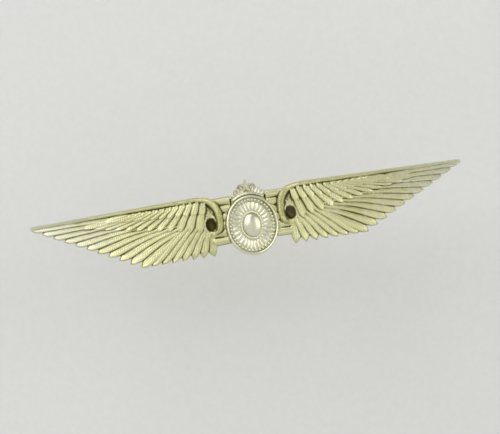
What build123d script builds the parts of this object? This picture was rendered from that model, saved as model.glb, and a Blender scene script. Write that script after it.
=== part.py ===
"""Pilot wings badge with two pull-off butterfly clutches. Millimetres, +Z up.

The badge faces -Y and its posts point to +Y, through the cloth. The origin is the
middle of the flat back that lies on the cloth. Left and right are as seen from the front.
"""
from build123d import *
import os
from math import cos, radians, sin

os.makedirs("parts", exist_ok=True)

# ---- Driving dimensions ----
# Wing blank: one striking that carries both wings
wing_span = 80.0
wing_top = 5.3          # top edge above the origin
wing_drop = 5.2         # lowest feather tips below the origin
tip_height = 4.45       # wing tip above the origin
taper_x = 20.5          # where the lower edge starts to rise towards the tip
shoulder_x = 9.6
waist_x = 5.9           # the notch between wing and medallion
waist_height = 4.3
blank_thick = 1.0
web_margin = 0.9        # how far the ground stays inside the feather tips
edge_width = 1.5        # leading-edge bar, at the shoulder and at the tip
edge_tip_width = 0.8
edge_rise = 0.95
pocket_x = 7.3          # sunk root beside the medallion
pocket_height = 0.6
pocket_width = 2.3
pocket_tall = 2.8
pocket_depth = 0.45

# Long outer feathers; their roots are given from the shoulder and from the top edge
feather_step = 0.03     # each feather lies this much over the next
feather_tip_width = 1.1
primary_count = 8
primary_width = 2.0
primary_rise = 0.62
primary_root_out = 6.0
primary_root_in = 1.0
primary_root_sink = 1.9
primary_root_fall = 3.2
# Shorter inner feathers
secondary_count = 6
secondary_width = 2.2
secondary_rise = 0.45
secondary_root_out = 2.0
secondary_root_height = 0.6
secondary_root_fall = 1.5
secondary_inset = 0.4   # how far the innermost tip stays from the waist and the lowest tips
# Small covering feathers under the leading edge
covert_count = 9
covert_width = 1.7
covert_rise = 0.8
covert_root_out = 13.0
covert_root_in = -0.8
covert_tip_out = 18.0
covert_tip_in = 1.2
covert_tip_drop = 1.3
covert_drop_more = 2.3

# Medallion
medallion_width = 9.6
medallion_height = 11.0
medallion_drop = 1.6    # its centre below the origin
plate_thick = 0.8
seat_depth = 0.2
seat_gap = 0.03
tongue_width = 1.5      # the plate's tongue behind the star
rim_wall = 1.15
rim_rise = 0.85
rim_round = 0.3
boss_width = 4.2
boss_height = 5.2
boss_rise = 0.95
star_radius = 1.65
star_notch = 0.7        # radius of the corners between its points
star_rise = 0.9
star_sink = 0.35        # how far its lower points run into its foot
star_foot_width = 5.6
star_foot_wall = 0.65
rivet_radius = 0.6
rivet_head_radius = 1.0
rivet_head_thick = 0.35
rivet_spacing = 6.0
rivet_bite = 0.5        # how far the rivets reach into the plate
rivet_gap = 0.02

# Posts
post_spacing = 38.0
post_radius = 0.55
post_length = 7.4       # from the back of the badge to the point
post_point = 1.6
post_point_radius = 0.07
pad_radius = 2.3
pad_thick = 0.4
pad_sink = 0.25
solder_width = 0.35
solder_gap = 0.01
solder_sag = 0.06
groove_count = 3
groove_lead = 0.15      # the first groove starts this far before the clutch
groove_width = 0.55
groove_depth = 0.16

# Clutches
cloth_gap = 2.2         # cloth between the badge and a clutch
clutch_radius = 5.0
clutch_sheet = 0.35
clutch_rim = 1.0
clutch_hole_gap = 0.25
shell_height = 2.1
shell_flange = 0.53     # flat foot of the shell inside the rim
shell_slope = 0.5       # how far its wall leans in
shell_gap = 0.02
hinge_x = 1.9           # hinge line from the post's axis
hinge_drop = 0.2        # hinge line below the top of the shell
hinge_gap = 0.04
knuckle_radius = 0.3
hem_width = 0.5
hem_depth = 0.55
window_gap = 0.15
tab_sheet = 0.3
tab_gap = 0.07
tab_root_width = 4.0
tab_width = 6.2
tab_reach = 2.7         # how far a tab leans out from its hinge
tab_rise = 3.6          # how far it rises above its hinge
stem_lean = 0.06        # the tab's upright root, before it flares
stem_rise = 1.0
lobe_rise = 2.3         # middle of the tab's wide lobe above the hinge
lobe_half = 1.45
jaw_wire = 0.2          # radius of the spring wire
jaw_gap = 0.06
jaw_drop = 0.9          # jaws below the hinge line
jaw_length = 3.6
jaw_seat_gap = 0.01
foot_width = 3.0
bow_gap = 0.2
saddle_radius = 0.5

# ---- Worked out from them ----
back = Plane.ZX                       # sketches on it extrude towards +Y
front = Plane.XZ                      # sketches on it extrude towards -Y
half_span = wing_span / 2
plate_back = blank_thick - seat_depth
plate_front = plate_back + plate_thick
full_depth = blank_thick + edge_rise + covert_rise
rim_top = medallion_height / 2 - medallion_drop
star_height = rim_top + star_foot_wall + star_radius * cos(radians(36)) - star_sink
rivet_heights = (-medallion_drop - rivet_spacing / 2, -medallion_drop + rivet_spacing / 2)
post_x = post_spacing / 2
hinge_height = shell_height - hinge_drop
jaw_height = hinge_height - jaw_drop
jaw_x = post_radius + jaw_gap + jaw_wire
bow_z = jaw_length / 2 + bow_gap
window_x = hinge_x + tab_sheet / 2 + tab_gap
window_z = tab_root_width / 2 + window_gap
shell_radius = clutch_radius - clutch_sheet - shell_gap
shell_foot_radius = shell_radius - shell_flange
shell_top_radius = shell_foot_radius - shell_slope
pieces = []


def save(piece, name):
    """Labels a finished piece and writes it as one STEP file."""
    piece.part.label = name
    export_step(piece.part, f"parts/{name}.step")
    pieces.append(name)


def plate_outline(gap):
    """The medallion plate's oval and its tongue, grown by a gap, drawn into the open sketch."""
    with Locations((0, -medallion_drop)):
        Ellipse(medallion_width / 2 + gap, medallion_height / 2 + gap)
    with Locations((0, star_height)):
        Circle(tongue_width / 2 + gap)
    with Locations((0, star_height / 2)):
        Rectangle(tongue_width + 2 * gap, star_height)


def tapered_bar(start, start_width, end, end_width):
    """A bar with round ends, drawn into the open sketch."""
    with Locations(start):
        Circle(start_width / 2)
    with Locations(end):
        Circle(end_width / 2)
    make_hull()


def between(first, last, share):
    """The point that lies this share of the way from first to last."""
    return (first[0] + (last[0] - first[0]) * share, first[1] + (last[1] - first[1]) * share)


def feather_row(count, roots, tips, width, rise):
    """Root, tip, width and height of each feather in a row, the outermost first."""
    row = []
    for k in range(count):
        share = k / (count - 1)
        height = blank_thick + rise + feather_step * (count - 1 - k)
        row.append((between(*roots, share), between(*tips, share), width, height))
    return row


# Tips of the long feathers run up the rising lower edge, and the rest along the bottom
outer_tip = (half_span - feather_tip_width / 2, tip_height - feather_tip_width / 2)
taper_tip = (taper_x, feather_tip_width / 2 - wing_drop)
inner_tip = (waist_x + secondary_width / 2 + secondary_inset, taper_tip[1] + secondary_inset)
primary_root = (shoulder_x + primary_root_out, wing_top - primary_root_sink)
primaries = feather_row(
    primary_count,
    (primary_root, (shoulder_x + primary_root_in, primary_root[1] - primary_root_fall)),
    (outer_tip, taper_tip),
    primary_width,
    primary_rise,
)
secondary_root = (shoulder_x + secondary_root_out, secondary_root_height)
secondaries = feather_row(
    secondary_count,
    (secondary_root, (inner_tip[0], secondary_root_height - secondary_root_fall)),
    (between(taper_tip, inner_tip, 1 / secondary_count), inner_tip),
    secondary_width,
    secondary_rise,
)
covert_height = wing_top - edge_width - covert_width / 2
coverts = feather_row(
    covert_count,
    ((shoulder_x + covert_root_out, covert_height), (shoulder_x + covert_root_in, covert_height)),
    (
        (shoulder_x + covert_tip_out, covert_height - covert_tip_drop),
        (shoulder_x + covert_tip_in, covert_height - covert_tip_drop - covert_drop_more),
    ),
    covert_width,
    covert_rise,
)

# ---- Wing blank: the right wing, mirrored, then cut for what is fixed to it ----
with BuildPart() as wing_blank:
    # Ground that ties the feathers together, with a land behind the medallion
    with BuildSketch(front):
        with BuildLine():
            Polyline(
                (0, waist_height),
                (waist_x, waist_height),
                (shoulder_x, wing_top - edge_width / 2),
                (outer_tip[0] - web_margin, tip_height - edge_tip_width / 2),
                (taper_x, web_margin - wing_drop),
                (inner_tip[0], web_margin - wing_drop),
                (waist_x, -waist_height),
                (0, -waist_height),
                close=True,
            )
        make_face()
        with Locations((0, -medallion_drop)):
            Ellipse(medallion_width / 2 - web_margin, medallion_height / 2 - web_margin)
        split(bisect_by=Plane.YZ, keep=Keep.TOP)
    extrude(amount=blank_thick)
    for root, tip, width, height in primaries + secondaries + coverts:
        with BuildSketch(front):
            tapered_bar(root, width, tip, feather_tip_width)
        extrude(amount=height)
    # Leading edge: a bar from the shoulder to the tip, turned down over the shoulder
    shoulder = (shoulder_x, wing_top - edge_width / 2)
    wing_end = (half_span - edge_tip_width / 2, tip_height - edge_tip_width / 2)
    turned_down = (waist_x + edge_width / 2, waist_height - edge_width)
    for end, end_width in ((wing_end, edge_tip_width), (turned_down, edge_width)):
        with BuildSketch(front):
            tapered_bar(shoulder, edge_width, end, end_width)
        extrude(amount=blank_thick + edge_rise)
    # Sunk root
    with BuildSketch(front.offset(blank_thick - pocket_depth)):
        with Locations((pocket_x, pocket_height)):
            Ellipse(pocket_width / 2, pocket_tall / 2)
    extrude(amount=full_depth, mode=Mode.SUBTRACT)
    mirror(about=Plane.YZ)
    # Seat for the medallion plate, cut through everything in front of it
    with BuildSketch(front.offset(plate_back)):
        plate_outline(seat_gap)
    extrude(amount=full_depth, mode=Mode.SUBTRACT)
    # Holes for the rivets, bored wider for their heads
    for radius, depth in ((rivet_radius, blank_thick), (rivet_head_radius, rivet_head_thick)):
        with BuildSketch(front):
            with Locations(*[(0, height) for height in rivet_heights]):
                Circle(radius + rivet_gap)
        extrude(amount=depth, mode=Mode.SUBTRACT)
    # Recesses in the back for the post pads and their solder
    with BuildSketch(back):
        with Locations((0, -post_x), (0, post_x)):
            Circle(pad_radius + solder_width)
    extrude(amount=-pad_sink, mode=Mode.SUBTRACT)
save(wing_blank, "wing_blank")

# ---- Medallion plate: an oval with a tongue that carries the star ----
with BuildPart() as plate:
    with BuildSketch(front.offset(plate_back)):
        plate_outline(0)
    extrude(amount=plate_thick)
    with BuildSketch(front.offset(plate_back)):
        with Locations(*[(0, height) for height in rivet_heights]):
            Circle(rivet_radius + rivet_gap)
    extrude(amount=rivet_bite, mode=Mode.SUBTRACT)
save(plate, "medallion_plate")

# ---- Oval rim, rounded on its front edges ----
with BuildPart() as rim:
    with BuildSketch(front.offset(plate_front)):
        with Locations((0, -medallion_drop)):
            Ellipse(medallion_width / 2, medallion_height / 2)
            Ellipse(medallion_width / 2 - rim_wall, medallion_height / 2 - rim_wall, mode=Mode.SUBTRACT)
    extrude(amount=rim_rise)
    fillet(rim.faces().sort_by(Axis.Y)[0].edges(), radius=min(rim_round, rim_wall / 3, rim_rise / 3))
save(rim, "medallion_rim")

# ---- Domed boss in the middle ----
with BuildPart() as boss:
    for slope in (0, 30, 55, 75):
        with BuildSketch(front.offset(plate_front + boss_rise * sin(radians(slope)))):
            with Locations((0, -medallion_drop)):
                Ellipse(boss_width / 2 * cos(radians(slope)), boss_height / 2 * cos(radians(slope)))
    loft()
save(boss, "medallion_boss")

# ---- Star over the rim, struck in one with the curved foot it stands on ----
corners = []
for k in range(10):
    reach = star_radius if k % 2 == 0 else star_notch
    corners.append((reach * sin(radians(36 * k)), star_height + reach * cos(radians(36 * k))))
with BuildPart() as star:
    with BuildSketch(front.offset(plate_front)):
        with Locations((0, -medallion_drop)):
            Ellipse(medallion_width / 2 + star_foot_wall, medallion_height / 2 + star_foot_wall)
            Ellipse(medallion_width / 2 + seat_gap, medallion_height / 2 + seat_gap, mode=Mode.SUBTRACT)
        with Locations((0, star_height)):
            Rectangle(star_foot_width, medallion_height / 2, mode=Mode.INTERSECT)
        with BuildLine():
            Polyline(*corners, close=True)
        make_face()
    extrude(amount=star_rise)
save(star, "medallion_star")

# ---- Two rivets through the blank into the plate, their heads let into the back ----
with BuildPart() as rivets:
    for radius, depth in ((rivet_radius, plate_back + rivet_bite), (rivet_head_radius, rivet_head_thick)):
        with BuildSketch(front):
            with Locations(*[(0, height) for height in rivet_heights]):
                Circle(radius)
        extrude(amount=depth)
save(rivets, "medallion_rivets")


def turned(outline, x, base):
    """A piece turned about a post's axis, from its (radius, height above base) corners."""
    with BuildPart() as piece:
        with BuildSketch(Plane((x, base, 0))):
            with BuildLine():
                Polyline(*outline, close=True)
            make_face()
        revolve(axis=Axis((x, base, 0), (0, 1, 0)))
    return piece


def nail_outline():
    """Half section of a grooved nail. The second groove lies between the jaws of the clutch."""
    pad_top = pad_thick - pad_sink
    outline = [(0, -pad_sink), (pad_radius, -pad_sink), (pad_radius, pad_top), (post_radius, pad_top)]
    first = cloth_gap - groove_lead
    pitch = cloth_gap + jaw_height - groove_width / 2 - first
    for k in range(groove_count):
        start = first + k * pitch
        outline.append((post_radius, start))
        outline.append((post_radius - groove_depth, start + groove_width / 2))
        outline.append((post_radius, start + groove_width))
    outline += [(post_radius, post_length - post_point), (post_point_radius, post_length)]
    return outline + [(0, post_length)]


solder_outline = [
    (pad_radius + solder_gap, -pad_sink),
    (pad_radius + solder_width - solder_gap, -pad_sink),
    (pad_radius + solder_width - solder_gap, -solder_sag),
    (pad_radius + solder_gap, -solder_gap),
]
dish_outline = [
    (post_radius + clutch_hole_gap, 0),
    (clutch_radius, 0),
    (clutch_radius, clutch_rim),
    (clutch_radius - clutch_sheet, clutch_rim),
    (clutch_radius - clutch_sheet, clutch_sheet),
    (post_radius + clutch_hole_gap, clutch_sheet),
]
shell_outline = [
    (shell_foot_radius - clutch_sheet, clutch_sheet),
    (shell_radius, clutch_sheet),
    (shell_radius, 2 * clutch_sheet),
    (shell_foot_radius, 2 * clutch_sheet),
    (shell_top_radius, shell_height),
    (0, shell_height),
    (0, shell_height - clutch_sheet),
    (shell_top_radius - clutch_sheet, shell_height - clutch_sheet),
]

for side, side_name in ((-1, "left"), (1, "right")):
    x = side * post_x
    save(turned(nail_outline(), x, 0), f"{side_name}_post")
    save(turned(solder_outline, x, 0), f"{side_name}_solder_ring")

    section = Plane((x, cloth_gap, 0))                                   # radius, height above the cloth
    face = Plane((x, cloth_gap, 0), x_dir=(1, 0, 0), z_dir=(0, 1, 0))    # its sketch Y is world -Z

    # Clutch base: a dish with a hole for the post and a dimple that the spring lies on
    with BuildPart() as base:
        add(turned(dish_outline, x, cloth_gap).part)
        with BuildSketch(face):
            with Locations((0, bow_z + jaw_x)):
                Circle(saddle_radius)
        extrude(amount=jaw_height - jaw_wire - jaw_seat_gap)
    save(base, f"{side_name}_clutch_base")

    # Clutch shell: a low dome crimped inside the dish, open in the middle for the tabs
    with BuildPart() as shell:
        add(turned(shell_outline, x, cloth_gap).part)
        # rolled hems along the two edges that the tabs rock in
        with BuildSketch(face.offset(shell_height - hem_depth)):
            Rectangle(2 * (window_x + hem_width), 2 * window_z)
        extrude(amount=hem_depth)
        with BuildSketch(face.offset(shell_height - hem_depth)):
            Rectangle(2 * window_x, 2 * window_z)
        extrude(amount=hem_depth, mode=Mode.SUBTRACT)
        with BuildSketch(section):
            with Locations((-hinge_x, hinge_height), (hinge_x, hinge_height)):
                Circle(knuckle_radius + hinge_gap)
        extrude(amount=window_z, both=True, mode=Mode.SUBTRACT)
    save(shell, f"{side_name}_clutch_shell")

    # Spring bow: the bend of the wire whose two ends are the jaws
    with BuildPart() as bow:
        with BuildLine():
            bend = ThreePointArc(
                (x - jaw_x, cloth_gap + jaw_height, -bow_z),
                (x, cloth_gap + jaw_height, -bow_z - jaw_x),
                (x + jaw_x, cloth_gap + jaw_height, -bow_z),
            )
        with BuildSketch(Plane(bend @ 0, z_dir=bend % 0)):
            Circle(jaw_wire)
        sweep()
    save(bow, f"{side_name}_clutch_spring")

    for way in (-1, 1):
        place = f"{side_name}_clutch_" + ("outer" if way == side else "inner")
        hinge = (way * hinge_x, hinge_height)
        jaw_place = (way * jaw_x, jaw_height)
        # Finger tab: flared sheet that rocks on a rolled knuckle, with a foot down to its jaw
        with BuildPart() as tab:
            with BuildSketch(section):
                with BuildLine():
                    stem = Line(hinge, (way * (hinge_x + stem_lean), hinge_height + stem_rise))
                    TangentArc(
                        stem @ 1,
                        (way * (hinge_x + tab_reach), hinge_height + tab_rise),
                        tangent=stem % 1,
                    )
                trace(line_width=tab_sheet)
            extrude(amount=tab_width / 2, both=True)
            # outline of the blade, seen from the side: a narrow root and a wide lobe
            beside = Plane((x + clutch_radius + tab_reach, cloth_gap, 0), (0, 0, 1), (-1, 0, 0))
            with BuildSketch(beside):
                with Locations((0, hinge_height + (lobe_rise - knuckle_radius) / 2)):
                    Rectangle(tab_root_width, lobe_rise + knuckle_radius)
                with Locations((0, hinge_height + lobe_rise)):
                    Ellipse(tab_width / 2, lobe_half)
            extrude(amount=2 * (clutch_radius + tab_reach), mode=Mode.INTERSECT)
            with BuildSketch(section):
                with Locations(hinge):
                    Circle(knuckle_radius)
            extrude(amount=tab_root_width / 2, both=True)
            with BuildSketch(section):
                with BuildLine():
                    Line(hinge, jaw_place)
                trace(line_width=tab_sheet)
            extrude(amount=foot_width / 2, both=True)
            with BuildSketch(section):
                with Locations(jaw_place):
                    Circle(jaw_wire + jaw_seat_gap)
            extrude(amount=foot_width, both=True, mode=Mode.SUBTRACT)
        save(tab, f"{place}_tab")
        # Jaw: the straight end of the spring wire beside the post
        with BuildPart() as jaw:
            with BuildSketch(section):
                with Locations(jaw_place):
                    Circle(jaw_wire)
            extrude(amount=jaw_length / 2, both=True)
        save(jaw, f"{place}_jaw")

print(len(pieces), "pieces:", ", ".join(pieces))
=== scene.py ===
from math import cos, pi, radians, sin

import bmesh
import bpy
import numpy as np
from mathutils import Matrix, Vector


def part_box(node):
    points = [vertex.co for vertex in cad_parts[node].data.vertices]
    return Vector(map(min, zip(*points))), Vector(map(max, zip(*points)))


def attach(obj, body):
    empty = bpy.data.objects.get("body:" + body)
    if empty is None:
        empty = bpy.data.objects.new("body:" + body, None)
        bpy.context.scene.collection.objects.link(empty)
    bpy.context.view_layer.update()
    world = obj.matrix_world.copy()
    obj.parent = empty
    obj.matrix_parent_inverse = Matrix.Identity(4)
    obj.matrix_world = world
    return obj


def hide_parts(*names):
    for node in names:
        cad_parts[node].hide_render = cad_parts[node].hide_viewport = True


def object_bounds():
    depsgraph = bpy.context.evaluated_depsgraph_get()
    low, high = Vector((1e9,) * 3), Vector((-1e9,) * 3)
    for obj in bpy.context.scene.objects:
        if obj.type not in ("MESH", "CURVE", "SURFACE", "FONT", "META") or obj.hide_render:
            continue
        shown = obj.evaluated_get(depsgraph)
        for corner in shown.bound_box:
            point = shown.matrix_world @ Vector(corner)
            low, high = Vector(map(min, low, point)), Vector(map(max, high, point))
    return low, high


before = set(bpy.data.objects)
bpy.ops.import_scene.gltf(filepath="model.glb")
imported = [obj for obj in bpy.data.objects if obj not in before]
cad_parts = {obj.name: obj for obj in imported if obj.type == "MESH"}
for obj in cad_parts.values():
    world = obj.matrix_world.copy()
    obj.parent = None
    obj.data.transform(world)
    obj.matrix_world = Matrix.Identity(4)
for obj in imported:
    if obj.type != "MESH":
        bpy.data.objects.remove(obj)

cad_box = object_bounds()
mm = 0.001

# ---- Struck wings ----
# One brass blank struck in a steel die, so both wings and the land behind the medallion are one piece.
# Every feather is a low crowned ridge with a quill, lying over the next like a roof tile.
# It is gold plated and polished by hand, which leaves the hollows dull. The hollows are also painted darker,
# as painted shade, and the two tips paler, as a painted highlight.


def middle_of(box):
    """The middle of a box along x, y and z, in millimetres."""
    return [(low + high) / 2 / mm for low, high in zip(*box)]


def half_size(box):
    """Half of a box's size along x, y and z, in millimetres."""
    return [(high - low) / 2 / mm for low, high in zip(*box)]


wing_low, wing_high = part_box("wing_blank")
half_span = wing_high.x / mm
wing_drop = -wing_low.z / mm
tip_height = 4.45
shoulder = (9.6, 4.55)
blank_thick = 1.0
edge_drop = 0.5             # how far a form falls away at its outline
edge_round = 0.17           # rounding from that edge up to a feather
vane_crown = 0.07
vane_tilt = 0.17
quill_rise = 0.085
quill_half = 0.1
barb_pitch = 0.42
barb_depth = 0.024
reed_pitch = 1.45
die_pitch = 0.09            # spacing of the points on the struck face
# What is let into it: the posts' pads and the rivets' heads behind, and the medallion's plate in front
pad_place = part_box("right_solder_ring")
post_x = middle_of(pad_place)[0]
recess_radius = half_size(pad_place)[0] + 0.01
recess_depth = 0.25
rivet_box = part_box("medallion_rivets")
rivet_reach = 1.0           # radius of a rivet's head
rivet_heights = (rivet_box[0].z / mm + rivet_reach, rivet_box[1].z / mm - rivet_reach)
rivet_seat = 0.35           # depth of the sinking for it
plate_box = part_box("medallion_plate")
plate_back = -plate_box[1].y / mm
plate_front = -plate_box[0].y / mm
oval = (4.8, 5.5)           # half width and half height of the medallion
oval_drop = 1.6             # its middle below the origin
tongue_half = 0.75          # the plate's tongue behind the star
seat_gap = 0.03

# The points' rows run along the wings' top edge, which falls a little towards the tips, and the edge itself
# lies midway between two rows, so that no row shows through as a step in it
edge_height = 5.242         # where the line of the top edge meets the badge's middle
edge_fall = 0.02
grid_x = np.arange(0, half_span + 2 * die_pitch, die_pitch)
rows_below = int((edge_height + wing_drop) / die_pitch) + 2
row_height = edge_height + (np.arange(-rows_below, 3) + 0.5) * die_pitch
place_x, place_z = np.meshgrid(grid_x, row_height, indexing="ij")
place_z = place_z - edge_fall * place_x


def rising(value, start, length):
    """0 up to the start, and from there evenly up to 1 over this length."""
    return np.clip((value - start) / length, 0, 1)


def between(first, last, share):
    """The point that lies this share of the way from first to last."""
    return first[0] + (last[0] - first[0]) * share, first[1] + (last[1] - first[1]) * share


def curve(corners, count):
    """Points along a smooth line through the corners."""
    corners = np.array(corners, float)
    padded = np.vstack([2 * corners[0] - corners[1], corners, 2 * corners[-1] - corners[-2]])
    found = []
    for k in range(len(corners) - 1):
        a, b, c, d = padded[k:k + 4]
        for t in np.linspace(0, 1, count, endpoint=False):
            found.append(0.5 * (2 * b + (c - a) * t + (2 * a - 5 * b + 4 * c - d) * t ** 2
                                + (3 * b - a - 3 * c + d) * t ** 3))
    return np.array(found + [corners[-1]])


def beside_line(a, b):
    """For each point of the face: its share of the way from a to b, its distance off and its side."""
    run = b - a
    off_x = place_x - a[0]
    off_z = place_z - a[1]
    share = np.clip((off_x * run[0] + off_z * run[1]) / (run @ run), 0, 1)
    distance = np.hypot(off_x - share * run[0], off_z - share * run[1])
    return share, distance, np.sign(run[0] * off_z - run[1] * off_x)


def strip(path, half_widths):
    """For each point of the face: its share of the path, distance and side, and the half width there."""
    near = np.full(place_x.shape, np.inf)
    share = np.zeros(place_x.shape)
    side = np.ones(place_x.shape)
    for k in range(len(path) - 1):
        own_share, distance, own_side = beside_line(path[k], path[k + 1])
        nearer = distance < near
        near[nearer] = distance[nearer]
        share[nearer] = (k + own_share[nearer]) / (len(path) - 1)
        side[nearer] = own_side[nearer]
    half = np.interp(share, np.linspace(0, 1, len(half_widths)), half_widths)
    return share, near, side, half


def inside_polygon(corners):
    """Distance inside a polygon, negative outside it."""
    corners = np.array(corners, float)
    near = np.full(place_x.shape, np.inf)
    crossings = np.zeros(place_x.shape, int)
    for a, b in zip(corners, np.roll(corners, -1, axis=0)):
        near = np.minimum(near, beside_line(a, b)[1])
        if a[1] != b[1]:
            spans = (a[1] > place_z) != (b[1] > place_z)
            crossings += spans & (place_x < (b[0] - a[0]) * (place_z - a[1]) / (b[1] - a[1]) + a[0])
    return np.where(crossings % 2 == 1, near, -near)


def inside_oval(x, z, half_width, half_height):
    """About the distance inside an oval, negative outside it."""
    reach = np.hypot((place_x - x) / half_width, (place_z - z) / half_height)
    return (1 - reach) * min(half_width, half_height)


def lay(form, inside, top, rounding=edge_round):
    """Adds a form to the face: where it is higher than what is there, it shows."""
    outline, height = form
    own = top - edge_drop * (1 - np.sin(pi / 2 * np.clip(inside / rounding, 0, 1)))
    own = np.where(inside > 0, own, 0)
    return np.maximum(outline, inside), np.maximum(height, own)


def feather(form, root, tip, bow, widths, level):
    """One feather: vanes that fall to both sides of a quill, tilted so that its lower edge stands up.

    Its two widths are those at its root and at its tip.
    """
    root, tip = np.array(root), np.array(tip)
    along = tip - root
    length = np.hypot(*along)
    across = np.array((-along[1], along[0])) / length
    path = curve([root, root + 0.5 * along + bow * across, tip], 10)
    shares = np.linspace(0, 1, 41)
    nose = min(0.6, 1.25 * widths[1] / length)      # share of the length over which the tip is rounded
    nearing = rising(shares, 1 - nose, nose)
    halves = (widths[0] + (widths[1] - widths[0]) * shares) / 2 * np.sqrt(1 - 0.95 * nearing ** 2)
    share, near, side, half = strip(path, halves)
    lean = side * near / half
    crown = vane_crown * (1 - lean ** 2)
    tilt = -vane_tilt * lean
    quill = quill_rise * np.exp(-(near / quill_half) ** 2) * np.clip(1.25 - share, 0, 1)
    quill -= 0.05 * np.exp(-(near / 0.26) ** 2)     # the vanes dip beside it
    combed = np.cos(2 * pi * (share * length - 0.9 * near) / barb_pitch)
    combed *= barb_depth * rising(near, 0, 0.2) * rising(half - near, 0, 0.15)
    fall = -0.14 * rising(share, 0.8, 0.2) ** 2
    return lay(form, half - near, level + crown + tilt + quill + combed + fall)


def feather_row(form, count, roots, tips, widths, bow, level, step):
    """A row of feathers, the innermost first, each lying a little over the one before.

    Roots, tips and widths each give the outermost feather's and then the innermost one's. The outermost is
    bowed half as much as the innermost.
    """
    for k in reversed(range(count)):
        share = k / (count - 1)
        form = feather(form, between(*roots, share), between(*tips, share), bow * (1 + share) / 2,
                       between(*widths, share), level + step * (count - 1 - k))
    return form


# Ground between the feathers, stippled by the die's punch, with a land behind the medallion
ground = inside_polygon([
    (-3, 3.9), (5.2, 3.9), shoulder, (38.0, 4.05), (20.5, -4.25), (8.0, -4.25), (5.2, -3.9), (-3, -3.9),
])
stipple_depth = 0.03
stipple = stipple_depth * np.random.default_rng(7).standard_normal(place_x.shape)
land = inside_oval(0, -oval_drop, oval[0] - 0.9, oval[1] - 0.9)
nothing = (np.full(place_x.shape, -9.0), np.zeros(place_x.shape))
form = lay(nothing, ground, blank_thick + stipple, rounding=0.2)
form = lay(form, land, blank_thick, rounding=0.2)
# Six reeds that join the wing to the medallion, and a cushion inside the curl of the wing's arm
reed_foot = 1.24
reed_rise = 0.26
reed_comb = 0.03
cushion_height = 1.42
across_reed = 2 * ((place_z / reed_pitch) % 1) - 1
combed = reed_comb * np.cos(2 * pi * (place_x + 0.5 * reed_pitch * np.abs(across_reed)) / barb_pitch)
reeds = inside_polygon([(3.2, 4.37), (6.9, 4.3), (7.6, -4.34), (3.2, -4.25)])
form = lay(form, reeds, reed_foot + reed_rise * (1 - np.abs(across_reed) ** 3) + combed, rounding=0.2)
form = lay(form, inside_oval(7.9, 0.9, 2.0, 2.9), cushion_height + stipple, rounding=0.4)
# Shorter inner feathers, then the long outer ones, then two rows of covering feathers
outer_tip = (half_span - 0.25, tip_height - 0.65)
taper_tip = (20.9, 0.33 - wing_drop)
inner_tip = (7.6, 0.38 - wing_drop)
form = feather_row(form, 7, roots=((11.8, 0.5), (7.8, -1.4)),
                   tips=(between(taper_tip, inner_tip, 1 / 7), inner_tip),
                   widths=((1.9, 2.3), (1.9, 2.3)), bow=0.25, level=1.2, step=0.03)
form = feather_row(form, 11, roots=((16.4, 3.3), (10.6, 0.2)), tips=(outer_tip, taper_tip),
                   widths=((1.4, 1.35), (1.5, 2.2)), bow=0.5, level=1.28, step=0.024)
form = feather_row(form, 12, roots=((24.0, 3.35), (8.9, 2.5)), tips=((30.6, 2.75), (9.6, -1.6)),
                   widths=((1.4, 1.5), (1.8, 2.15)), bow=0.2, level=1.52, step=0.012)
form = feather_row(form, 12, roots=((22.2, 3.75), (8.5, 3.8)), tips=((26.4, 3.15), (8.8, 1.5)),
                   widths=((1.3, 1.35), (1.6, 1.9)), bow=0.06, level=1.66, step=0.008)
# Leading edge: the arm of the wing, a round bar that turns down at the shoulder and curls round the root
arm_height = 1.74           # at its thin end, by the wing's tip
arm_swell = 0.18            # rise from there to where it is full
arm_crown = 0.12
arm_fall = 0.35             # fall at the end of its curl
knuckle_count = 46
knuckle_rise = 0.07
wing_end = (half_span - 0.4, tip_height - 0.4)
arm = np.vstack([
    curve([wing_end, between(wing_end, shoulder, 0.5), shoulder], 6)[:-1],
    curve([shoulder, (7.45, 4.0), (6.1, 2.5), (5.68, 0.35), (5.95, -1.4), (7.0, -2.25)], 7),
])
share, near, _, half = strip(arm, [0.4, 0.46, 0.55, 0.75, 0.72, 0.68, 0.42])
lean = near / half
knuckles = knuckle_rise * np.cos(2 * pi * (share * knuckle_count - 0.35 * lean ** 2))
knuckles *= rising(share, 0.16, 0.2)
top = arm_height + arm_swell * rising(share, 0, 0.3) + arm_crown * (1 - lean ** 2)
top += knuckles * (1 - lean ** 4)
outline, height = lay(form, half - near, top - arm_fall * rising(share, 0.86, 0.14), rounding=0.5)
# Sunk root, and the flat seat that the medallion plate is riveted to
bowl_rim = 1.36
bowl_depth = 0.9
bowl = np.clip(inside_oval(7.4, -0.4, 1.0, 1.35), 0, 1)
height = np.where(bowl > 0, np.minimum(height, bowl_rim - bowl_depth * (1 - (1 - bowl) ** 2)), height)
behind_oval = inside_oval(0, -oval_drop, oval[0] + seat_gap, oval[1] + seat_gap) > 0
behind_tongue = (place_x < tongue_half + seat_gap) & (place_z > 0)
height = np.where(behind_oval | behind_tongue, plate_back, height)


def mirrored(field):
    """The field of the right wing with its mirror image, the left wing's, before it."""
    return np.vstack([field[:0:-1], field])


def softened(field, passes):
    """The field averaged with its neighbours, so many times over."""
    for _ in range(passes):
        for axis in (0, 1):
            field = (np.roll(field, 1, axis) + 2 * field + np.roll(field, -1, axis)) / 4
    return field


# Beyond the outline the height counts as a little less than the blank's, where hollows are measured
height = mirrored(np.where(outline > 0, height, 0.8))
outline = mirrored(outline)
shy = 0.16 * die_pitch      # keeps the outline off the grid's points, so that no cut square is a sliver
outline = np.where(np.abs(outline) < shy, np.where(outline > 0, shy, -shy), outline)
grid_x = np.concatenate([-grid_x[:0:-1], grid_x])
grid_z = mirrored(place_z)
# How hollow each place is: below its close surroundings, below its wide ones, and in the sunk root. The metal
# is painted darker by it, as painted shade that is darkest in the sunk root
below_close = softened(height, 10) - height
below_wide = softened(height, 60) - height
hollows = np.clip(0.5 + (3.6 * below_close + 1.2 * below_wide + 0.5 * mirrored(bowl)), 0, 1)
wall_hollow = 0.4
back_hollow = 0.57

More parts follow.
